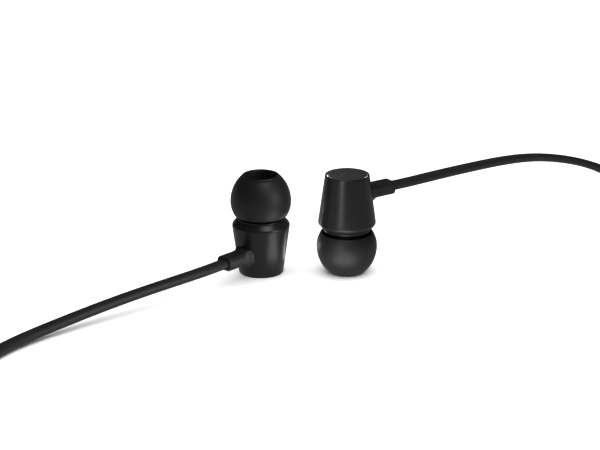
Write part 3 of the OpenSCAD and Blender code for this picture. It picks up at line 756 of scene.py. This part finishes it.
# %% Ear tip
TIP_R, SKIRT_Z, MID_Z, TIP_TOP = 6.15, 12.2, 15.0, 20.6
SKIRT_R, LIP_R, HOLE_R, LIP_ROUND = 5.35, 3.9, 3.25, 0.29
SLEEVE_IN, SLEEVE_OUT, SLEEVE_Z, TIP_WALL = 2.95, 3.5, SKIRT_Z + 0.2, 0.45
SEAT_TOP, SEAT_EDGE, WEB_ROUND = 16.9, 16.5, 0.5
LOW_ANGLE = math.degrees(math.acos(SKIRT_R / TIP_R))
TOP_ANGLE = math.degrees(math.acos(LIP_R / TIP_R))
LOW_AXIS = (MID_Z - SKIRT_Z) / math.sin(math.radians(LOW_ANGLE))
TOP_AXIS = (TIP_TOP - LIP_ROUND - MID_Z) / math.sin(math.radians(TOP_ANGLE))
WEB_ANGLE = math.degrees(math.acos((SLEEVE_OUT + WEB_ROUND) / (TIP_R - TIP_WALL)))
web = arc(TIP_R - TIP_WALL, TOP_AXIS - TIP_WALL, MID_Z, WEB_ANGLE, 0, 24)
lip = rounded([(LIP_R, TIP_TOP, LIP_ROUND), (HOLE_R, TIP_TOP, LIP_ROUND), (HOLE_R, SEAT_TOP, 0),
               (SLEEVE_IN, SEAT_EDGE, 0), (SLEEVE_IN, SLEEVE_Z, 0.08),
               (SLEEVE_OUT, SLEEVE_Z, 0.08), (SLEEVE_OUT, web[0][1] - WEB_ROUND, 0)], 8)
TIP_OUTLINE = (arc(TIP_R, LOW_AXIS, MID_Z, -LOW_ANGLE, 0, 20)
               + arc(TIP_R, TOP_AXIS, MID_Z, 0, TOP_ANGLE, 36)[1:-1] + lip + web
               + arc(TIP_R - TIP_WALL, LOW_AXIS, MID_Z, 0, -LOW_ANGLE, 20)[1:])
soft_silicone = finish("soft_silicone", (0.024, 0.024, 0.0245), 0.46, grain=3500, depth=3e-6,
                       uneven=0.14, dust=0.1, sheen=0.06)
for side, place in BUD_PLACE.items():
    settle(spun(f"silicone_tip_{side}", TIP_OUTLINE, place, sharp=60, longest=0.6), soft_silicone,
           "silicone", TIP_BODY[side], f"ear_tip_{side}")

# %% [markdown]
# ## Strain relief
#
# A rubber moulding keeps the cord from kinking where it leaves the metal. It flares at its root like
# a trumpet, runs parallel to the cord and ends square, with a small radius and a mouth that the cord
# comes out of. A loft of rounded outlines along its axis follows all of that.

# %% Strain relief
def circle_like(ring, r):
    """A circle with one point for each point of the ring, at the same angle."""
    return [(r * math.cos(math.atan2(y, x)), r * math.sin(math.atan2(y, x))) for x, y in ring]


FLARE_STEPS, FLARE_LEN, END_R = 14, 1.8, 0.32
MOUTH, MOUTH_DEPTH, MOUTH_ROUND = 0.08, 0.45, 0.8
STRAIGHT_X = (8.0, 9.2, 10.3)
stations = [(POCKET_X + GAP, 2 * RELIEF_FLARE), (WALL_X, 2 * RELIEF_FLARE)]
stations += [(WALL_X + FLARE_LEN * i / FLARE_STEPS, 2 * RELIEF_FLARE * (1 - i / FLARE_STEPS) ** 2)
             for i in range(1, FLARE_STEPS + 1)]
stations += [(x, 0) for x in STRAIGHT_X]
stations += [(RELIEF_REACH - END_R * (1 - math.sin(a)), -2 * END_R * (1 - math.cos(a)))
             for a in (math.pi / 2 * i / 6 for i in range(7))]
relief_rubber = finish("relief_rubber", (0.036, 0.036, 0.0365), 0.4, grain=7000, depth=3e-6,
                       uneven=0.2, dust=0.06)
for side, place in BUD_PLACE.items():
    outlines = [(x, pill(RELIEF_W + grow, RELIEF_H + grow, RELIEF_ROUND + grow / 4))
                for x, grow in stations]
    root = outlines[0][1]
    outlines = [(STUB_X, circle_like(root, STUB_R)), (POCKET_X + GAP, circle_like(root, STUB_R)),
                *outlines]
    outlines += [(RELIEF_REACH, pill(CORD_W + 2 * MOUTH, CORD_T + 2 * MOUTH, MOUTH_ROUND)),
                 (RELIEF_REACH - MOUTH_DEPTH, pill(CORD_W, CORD_T, MOUTH_ROUND))]
    relief = skin(f"cord_relief_{side}", [at_relief(x, ring, place) for x, ring in outlines], 45)
    settle(relief, relief_rubber, "relief_rubber", ROOT_BODY, f"strain_relief_{side}")

# %% [markdown]
# ## Cord jackets
#
# The jacket is drawn out of a die, so its faint marks run along the cord. The grain reads the
# straightened coordinates, squeezed lengthwise, and follows every bend for that reason.

# %% Cord jackets
satin_jacket = finish("satin_jacket", (0.052, 0.052, 0.0525), 0.38, grain=7000, depth=3e-6,
                      uneven=0.14, along=True)
for cord_piece in cords.values():
    cord_piece.data.materials.append(satin_jacket)
print("jackets:", len(cords))

# %% [markdown]
# ## Inside the bud
#
# The driver and the wiring keep their CAD shapes, which are right already: they only show when the
# ear tip is off and the parts are taken out one by one. Each still gets its own finish.

# %% Finishes of the inner pieces
INNER_FINISHES = {
    "damper": finish("open_foam", (0.045, 0.045, 0.047), 0.9, grain=2500, depth=6e-5, uneven=0.5),
    "driver_basket": finish("plated_basket", (0.38, 0.38, 0.4), 0.32, metal=1.0, grain=8000,
                            depth=2e-6),
    "magnet_pot": finish("plated_pot", (0.42, 0.42, 0.44), 0.26, metal=1.0, grain=9000, depth=1e-6),
    "magnet": finish("nickel_magnet", (0.6, 0.6, 0.62), 0.18, metal=1.0, grain=5000, depth=1e-6,
                     uneven=0.12),
    "pole_plate": finish("steel_plate", (0.45, 0.45, 0.46), 0.3, metal=1.0, grain=7000, depth=2e-6),
    "voice_coil": finish("copper_winding", (0.5, 0.21, 0.1), 0.3, metal=1.0, grain=26000,
                         depth=6e-6, uneven=0.2),
    "diaphragm": finish("clear_film", (0.56, 0.5, 0.36), 0.28, grain=1500, depth=4e-6, coat=0.4),
    "driver_ring": finish("plated_ring", (0.4, 0.4, 0.42), 0.3, metal=1.0, grain=8000, depth=2e-6),
    "terminal_board": finish("solder_mask", (0.02, 0.13, 0.045), 0.35, grain=4000, depth=3e-6,
                             coat=0.3),
    "lead_wires": finish("enamelled_wire", (0.45, 0.13, 0.06), 0.28, metal=0.8, grain=9000,
                         depth=1e-6, coat=0.4),
    "cord_core": finish("core_jacket", (0.03, 0.03, 0.032), 0.6, grain=5000, depth=8e-6),
}


def paint_cad(node, material):
    """Gives a CAD node that stays its procedural material."""
    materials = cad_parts[node].data.materials
    materials.clear()
    materials.append(material)


for side in SIDES:
    for part, material in INNER_FINISHES.items():
        paint_cad(f"{part}_{side}", material)
print("inner pieces with a finish:", len(INNER_FINISHES) * len(SIDES))

# %% [markdown]
# ## Splitter and coil straps
#
# The splitter is an aluminium sleeve with a rubber collar at each end, ribbed so that it bends with
# the cord. Two soft straps hold the coil. Each strap goes round the wound cord, and its free end is
# pressed down on itself, which shows as a second layer on top.

# %% Splitter
SPLIT_AT, SPLIT_W, SPLIT_H = Vector((38, -118.5, 1.6)), 7.0, 3.2
SHELL_HALF, SHELL_ROUND, COLLAR = 6.0, 1.5, 2.0
EDGE_R = 0.35


def across_y(y, w, h, r):
    """A rounded outline square to the Y axis, at y from the splitter's middle."""
    return [(SPLIT_AT + Vector((px, y, py))) * MM for px, py in pill(w, h, r)]


def ends_in(half, r, steps=5):
    """Places and insets of a bar's two rounded ends, from one end to the other."""
    bend = [(half - r + r * math.sin(a), r - r * math.cos(a))
            for a in (math.pi / 2 * i / steps for i in range(steps + 1))]
    return [(-y, inset) for y, inset in reversed(bend)] + bend


shell_rings = [across_y(y, SPLIT_W - 2 * i, SPLIT_H - 2 * i, SHELL_ROUND - i)
               for y, i in ends_in(SHELL_HALF, EDGE_R)]
sleeve = skin("splitter_sleeve", shell_rings)
settle(sleeve, blasted_black, "housing_metal", ROOT_BODY, "splitter_shell")

RIB_STEPS, RIBS, RIB_DEPTH = 36, 3, 0.22
COLLAR_INSET, COLLAR_TAPER, COLLAR_ROUND = 0.25, 0.35, 1.2
collar_parts = []
for end in (-1, 1):
    rings = []
    for k in range(RIB_STEPS + 1):
        t = k / RIB_STEPS
        rib = RIB_DEPTH * (0.5 - 0.5 * math.cos(math.tau * RIBS * t))
        inset = COLLAR_INSET + rib + COLLAR_TAPER * t**6
        rings.append(across_y(end * (SHELL_HALF + COLLAR * t), SPLIT_W - 2 * inset,
                              SPLIT_H - 2 * inset, COLLAR_ROUND - inset / 2))
    collar_parts.append(skin(f"collar_{end}", rings, 60))


def joined(name, parts):
    """Several pieces as one object."""
    bm = bmesh.new()
    for part in parts:
        bm.from_mesh(part.data)
        bpy.data.objects.remove(part)
    mesh = bpy.data.meshes.new(name)
    bm.to_mesh(mesh)
    bm.free()
    return put(name, mesh)


collars = joined("ribbed_collars", collar_parts)
settle(collars, relief_rubber, "relief_rubber", ROOT_BODY, "splitter_collars")

# %% Coil straps
COIL_H, COIL_W = 3 * UP, 3 * ACROSS
TIE_T, TIE_W, TIE_ANGLES = 0.5, 4.0, (60, 150)
TIE_ROUND, SNUG = 0.9, 0.04
TAB_LEN, TAB_W, TAB_ROUND = 6.4, TIE_W - 0.5, 1.1
TAB_LAYERS = [(0, 0), (0.22, 0), (0.3, 0.08)]


def round_coil(angle, ring):
    """An outline across the coil's turns, put at an angle round the coil."""
    c, s = math.cos(angle), math.sin(angle)
    return [(COIL_AT + Vector(((COIL_MID_R + x) * c, (COIL_MID_R + x) * s,
                               COIL_LIFT + COIL_H / 2 + y))) * MM for x, y in ring]


def strap(name, degrees):
    """A closed band round the coil's section, with rounded edges, and its free end on top."""
    facing = Matrix.Rotation(math.radians(degrees), 3, "Z")
    half = TIE_W / 2 / COIL_MID_R
    levels = [(t, TIE_T * (1 - 0.35 * abs(t) ** 8)) for t in (k / 8 - 1 for k in range(17))]
    rings = [round_coil(math.radians(degrees) + half * t,
                        pill(COIL_W + SNUG + 2 * h, COIL_H + SNUG + 2 * h, TIE_ROUND + h))
             for t, h in levels]
    rings += [round_coil(math.radians(degrees) + half * t,
                         pill(COIL_W + SNUG, COIL_H + SNUG, TIE_ROUND)) for t, _ in reversed(levels)]
    n, verts = len(rings[0]), [v for ring in rings for v in ring]
    faces = [(k * n + i, k * n + (i + 1) % n, (k + 1) % len(rings) * n + (i + 1) % n,
              (k + 1) % len(rings) * n + i) for k in range(len(rings)) for i in range(n)]
    band = new_piece(name, verts, faces)

    # The free end: a thin slab on top, its corners rounded
    on_top = COIL_AT + facing @ Vector((COIL_MID_R, 0, COIL_LIFT + COIL_H + TIE_T))
    layers = [[(on_top + facing @ Vector((x * (1 - inset / 3), y * (1 - inset / 2), up))) * MM
               for x, y in pill(TAB_LEN, TAB_W, TAB_ROUND)] for up, inset in TAB_LAYERS]
    return [band, skin(name + "_end", layers, 50)]


strap_black = finish("strap_black", (0.02, 0.02, 0.02), 0.62, grain=4500, depth=1.2e-5,
                     sheen=0.1)
ties = joined("coil_straps", [part for degrees in TIE_ANGLES
                              for part in strap(f"tie_{degrees}", degrees)])
sharpen(ties, 50)
settle(ties, strap_black, "tie_strap", ROOT_BODY, "coil_ties")

# %% [markdown]
# ## Plug
#
# The plug is turned: a rubber relief with bending grooves, a metal grip with a ribbed band, and the
# gold plated jack with its ring and black insulators. The ribs repeat round an axis, so Geometry
# Nodes set one small bar on each point of a circle.

# %% Plug
PLUG_AT = Vector((-22, -137.5, 3)) * MM
PLUG_PLACE = (Matrix.Translation(PLUG_AT)
              @ Matrix.Rotation(math.radians(-90), 4, "Y"))
GRIP_Z, GRIP_LEN, GRIP_R, RELIEF_LEN = 9.0, 15.0, 3.0, 9.0
BAND_FROM, BAND_TO, BAND_R = 3.2, 11.8, 2.82
JACK_Z, JACK_R, JACK_LEN, ROOT_LEN, PIN_R = 24.0, 1.75, 14.0, 3.0, 0.5
RING_FROM, RING_TO, INSULATOR = 7.1, 9.5, 0.7
BOOT_R, BOOT_SPREAD, BOOT_STEPS = 1.7, 0.5, 60
GROOVE, GROOVE_PITCH, GROOVES_FROM, GROOVES_TO = 0.22, 1.3, 1, 8
GRIP_END_R, BOOT_BORE, CORE_BORE, BOOT_SEAT = 2.5, 1.77, 1.57, 2.02

relief_outline = [(0, 0), (1.5, 0), (1.66, 0.06), (BOOT_R, 0.2)]
for k in range(1, BOOT_STEPS + 1):
    z = 0.2 + (RELIEF_LEN - 0.2) * k / BOOT_STEPS
    wave = max(0, math.cos(math.tau * (z - 1.2) / GROOVE_PITCH)) ** 3
    dip = GROOVE * wave if GROOVES_FROM < z < GROOVES_TO else 0
    relief_outline.append((BOOT_R + BOOT_SPREAD * z / RELIEF_LEN - dip, z))
relief_outline += [(1.75, RELIEF_LEN), (1.75, RELIEF_LEN + 2), (0, RELIEF_LEN + 2)]
settle(spun("plug_boot", relief_outline, PLUG_PLACE, 72, sharp=50), relief_rubber, "relief_rubber",
       ROOT_BODY, "plug_relief")

grip_outline = rounded([
    (BOOT_BORE, 0, 0), (GRIP_END_R, 0, 0.2), (GRIP_R, 1.5, 0.4), (GRIP_R, BAND_FROM, 0.1),
    (BAND_R, BAND_FROM + 0.15, 0), (BAND_R, BAND_TO - 0.15, 0), (GRIP_R, BAND_TO, 0.1),
    (GRIP_R, GRIP_LEN, 0.4), (CORE_BORE, GRIP_LEN, 0), (CORE_BORE, BOOT_SEAT, 0),
    (BOOT_BORE, BOOT_SEAT, 0)])
grip_place = PLUG_PLACE @ Matrix.Translation((0, 0, GRIP_Z * MM))
grip_body = spun("grip_body", grip_outline, grip_place, 96)

# %% A tree that sets ribs round a grip
BAR_R, BAR_SIDES, BAR_COUNT, BAR_GAP, BAR_LIFT = 0.12, 8, 40, 0.25, 0.04


def ribs_tree():
    """Geometry Nodes: the same small rounded bar at each point of a circle, lying along the axis."""
    tree, given, result = new_group(
        "grip_ribs", [("Radius", "Float"), ("Length", "Float"), ("Bar", "Float"), ("Count", "Int"),
                      ("Finish", "Material")], [("Mesh", "Geometry")], "GeometryNodeTree")
    ring = add(tree, "GeometryNodeMeshCircle", {"Vertices": given["Count"],
                                                "Radius": given["Radius"]})
    line = add(tree, "GeometryNodeCurvePrimitiveLine", {"End": combine(tree, Z=given["Length"])})
    circle = add(tree, "GeometryNodeCurvePrimitiveCircle", {"Resolution": BAR_SIDES,
                                                            "Radius": given["Bar"]})
    bar = add(tree, "GeometryNodeCurveToMesh", {
        "Curve": line.outputs[0], "Profile Curve": circle.outputs[0], "Fill Caps": True})
    ribs = add(tree, "GeometryNodeInstanceOnPoints", {"Points": ring.outputs[0],
                                                      "Instance": bar.outputs[0]})
    return painted(tree, ribs.outputs[0], given["Finish"], result)


turned_black = finish("turned_black", (0.02, 0.02, 0.021), 0.3, grain=9000, depth=2e-6, uneven=0.15,
                      rings=(PLUG_AT, (1, 0, 0), 5000, 0.12))
rib_place = grip_place @ Matrix.Translation((0, 0, (BAND_FROM + BAR_GAP) * MM))
ribs = grown("grip_ribs", ribs_tree(), rib_place, Radius=(BAND_R + BAR_LIFT) * MM,
             Length=(BAND_TO - BAND_FROM - 2 * BAR_GAP) * MM, Bar=BAR_R * MM, Count=BAR_COUNT,
             Finish=turned_black)
grip = joined("plug_grip_ribbed", [grip_body, ribs])
sharpen(grip, 40)
settle(grip, turned_black, "housing_metal", ROOT_BODY, "plug_grip")

# %% Jack
jack_place = PLUG_PLACE @ Matrix.Translation((0, 0, JACK_Z * MM))
gold_plate = finish("gold_plate", (0.83, 0.6, 0.27), 0.17, metal=1.0, grain=9000, depth=8e-7,
                    uneven=0.08, rings=(PLUG_AT, (1, 0, 0), 7000, 0.06))
black_insulator = finish("black_insulator", (0.012, 0.012, 0.012), 0.22, grain=6000, depth=1e-6)
SLEEVE_TO, LAYER = RING_FROM - INSULATOR, 0.3
SLEEVE_ROOT_R, NECK_R, HEAD_R = 1.55, 1.19, 1.61
JACK = {
    "jack_sleeve": rounded([(PIN_R + 2 * LAYER, -ROOT_LEN, 0), (SLEEVE_ROOT_R, -ROOT_LEN, 0),
                            (SLEEVE_ROOT_R, 0, 0),
                            (JACK_R, 0, 0), (JACK_R, SLEEVE_TO, 0.05),
                            (PIN_R + 2 * LAYER, SLEEVE_TO, 0)]),
    "jack_ring": rounded([(PIN_R + LAYER, RING_FROM, 0), (JACK_R, RING_FROM, 0.05),
                          (JACK_R, RING_TO, 0.05), (PIN_R + LAYER, RING_TO, 0)]),
    "jack_tip": [(0, -ROOT_LEN), (PIN_R, -ROOT_LEN), (PIN_R, RING_TO + INSULATOR)] + rounded([
        (JACK_R - 0.05, RING_TO + INSULATOR, 0), (JACK_R, RING_TO + INSULATOR + 0.05, 0),
        (NECK_R, JACK_LEN - 2.1, 0.2), (NECK_R, JACK_LEN - 1.8, 0.2), (HEAD_R, JACK_LEN - 1.3, 0.15),
        (0.7, JACK_LEN - 0.15, 0.3)]) + [(0, JACK_LEN)],
}
for name, outline in JACK.items():
    piece = spun("gold_" + name, outline, jack_place, 72, sharp=30)
    settle(piece, gold_plate, "jack_gold", ROOT_BODY, name)
paint_cad("jack_insulators", black_insulator)

# %% [markdown]


# %% [markdown]
# ## Light and floor
#
# Black shapes are drawn by what they reflect, and a camera above a steep side sees the floor in it.
# Most highlights therefore come from strips of light laid flat on the floor: one behind each bud's
# inner side draws the line at its edge, and one in front the broad band. Soft boxes add the fill, and
# two behind the right bud light its cap. Each lamp lights only the pieces that it is meant for, so
# that no other edge turns bright.

# %% Floor
def camera_sees(tree, seen, bounced, result):
    """The camera sees one shader, and every other ray meets the other one."""
    ray = add(tree, "ShaderNodeLightPath")
    pick = add(tree, "ShaderNodeMixShader", {0: ray.outputs["Is Camera Ray"], 1: bounced.outputs[0],
                                             2: seen.outputs[0]})
    fill(tree, result, {"Surface": pick.outputs[0]})


WHITE, PALE = (1, 1, 1, 1), (0.96, 0.96, 0.96, 1)
FLOOR_HALF, FLOOR_DROP, FLOOR_GLOW = 6.0, 0.02 * MM, 0.3
corners = [(x * FLOOR_HALF, y * FLOOR_HALF, 0) for x, y in ((-1, -1), (1, -1), (1, 1), (-1, 1))]
floor_mesh = bpy.data.meshes.new("floor")
floor_mesh.from_pydata(corners, [], [(0, 1, 2, 3)])
floor = put("floor", floor_mesh)
floor.location.z = -FLOOR_DROP
paper = bpy.data.materials.new("pale_paper")
paper.use_nodes = True
tree = paper.node_tree
tree.nodes.clear()
camera_sees(tree, add(tree, "ShaderNodeBsdfDiffuse", {"Color": PALE}),
            add(tree, "ShaderNodeEmission", {"Color": WHITE, "Strength": FLOOR_GLOW}),
            add(tree, "ShaderNodeOutputMaterial"))
floor_mesh.materials.append(paper)

# %% World: white behind the object, dim in its reflections
WORLD_SEEN, WORLD_GLOW = 1.0, 0.05
world = bpy.data.worlds.new("studio")
world.use_nodes = True
bpy.context.scene.world = world
tree = world.node_tree
tree.nodes.clear()
camera_sees(tree, add(tree, "ShaderNodeBackground", {"Color": WHITE, "Strength": WORLD_SEEN}),
            add(tree, "ShaderNodeBackground", {"Color": WHITE, "Strength": WORLD_GLOW}),
            add(tree, "ShaderNodeOutputWorld"))
bpy.context.scene.view_settings.view_transform = "Standard"

# %% Soft boxes and strips
def light_only(lamp, lit):
    """Limits a lamp to these objects."""
    group = bpy.data.collections.new(lamp.name + "_lights")
    for thing in lit:
        group.objects.link(thing)
    lamp.light_linking.receiver_collection = group


def soft_box(name, at, aim, size, power, lit):
    """A rectangular light that faces a point and lights just the given pieces."""
    light = bpy.data.lights.new(name, "AREA")
    light.shape = "RECTANGLE"
    light.size, light.size_y = size
    light.energy = power
    lamp = put(name, light)
    lamp.location = at
    lamp.rotation_euler = (Vector(aim) - Vector(at)).to_track_quat("-Z", "Y").to_euler()
    lamp.visible_camera = False
    light_only(lamp, lit)
    return lamp


def heading(side, azimuth):
    """A level direction from a bud, in degrees round from the camera's side to the other bud's."""
    turn, a = (-1 if side == "right" else 1), math.radians(azimuth)
    return Vector((turn * math.sin(a), -math.cos(a), 0))


def heart(side):
    """The middle of a bud."""
    return axis_of(side) + Vector((0, 0, BUD_TOP / 2))


def from_bud(side, azimuth, height, distance):
    """A point seen from a bud's middle: round from the camera's side, up, and away."""
    h = math.radians(height)
    return heart(side) + distance * (heading(side, azimuth) * math.cos(h)
                                     + Vector((0, 0, math.sin(h))))


STRIP_LIFT = Vector((0, 0, 0.2 * MM))


def glow_strip(name, side, azimuth, start, end, width, power, lit):
    """A strip of light lying on the floor, leading away from a bud, from start to end in metres."""
    way = heading(side, azimuth)
    centre = axis_of(side) + way * (start + end) / 2 + STRIP_LIFT
    lamp = soft_box(name, centre, centre + Vector((0, 0, 1)), (width, end - start), power, lit)
    lamp.rotation_euler = (math.pi, 0, math.atan2(way.y, way.x) + math.pi / 2)


# %% Set up the lamps
PIECES = [o for o in bpy.context.scene.objects if o.type == "MESH" and o is not floor]
BUD_PIECES = {side: [o for o in PIECES if o.name.endswith("_" + side)] for side in SIDES}
DISCS = [o for o in PIECES if o.name.startswith("spun_cap")]
REST = [o for o in PIECES if not any(o in group for group in BUD_PIECES.values())]
BOX_AWAY = 0.5
BOXES = {
    # name: (azimuth, height, size, power) for each bud
    "front_box": {"left": (58, 12, (0.16, 0.3), 0.5), "right": (26, 4, (0.1, 0.3), 0.5)},
    "top_box": {"left": (40, 60, (0.25, 0.25), 0.5), "right": (20, 70, (0.3, 0.3), 0.6)},
}
STRIPS = {
    # name: (side, azimuth, start, end, width, power)
    "edge_glow_left": ("left", 114, 0.009, 0.06, 0.003, 0.0012),
    "band_glow_left": ("left", 46, 0.01, 0.08, 0.009, 0.0032),
    "edge_glow_right": ("right", 118, 0.02, 0.2, 0.012, 0.03),
    "band_glow_right": ("right", 24, 0.03, 0.2, 0.02, 0.01),
    "tip_glow_right": ("right", 8, 0.008, 0.034, 0.014, 0.0022),
}
FANS, FAN_SIZE, FAN_POWER = ((162, 24), (214, 23)), (0.06, 0.1), 1.4
FILL_AT, FILL_AIM, FILL_SIZE, FILL_POWER = (0.1, -0.5, 0.6), (0, -0.1, 0), (0.5, 0.5), 13
SKY_POWER, SKY_SPREAD = 5.5, math.radians(120)

for name, both in BOXES.items():
    for side, (azimuth, height, size, power) in both.items():
        soft_box(f"{name}_{side}", from_bud(side, azimuth, height, BOX_AWAY), heart(side), size,
                 power, BUD_PIECES[side])
for name, (side, *values) in STRIPS.items():
    glow_strip(name, side, *values, BUD_PIECES[side])
for k, (azimuth, height) in enumerate(FANS):
    soft_box(f"fan_box_{k}", from_bud("right", azimuth, height, BOX_AWAY), axis_of("right"),
             FAN_SIZE, FAN_POWER, DISCS)
soft_box("fill_box", FILL_AT, FILL_AIM, FILL_SIZE, FILL_POWER, REST)
sky = put("sky", bpy.data.lights.new("sky", "SUN"))
sky.data.energy = SKY_POWER
sky.data.angle = SKY_SPREAD
light_only(sky, [floor])
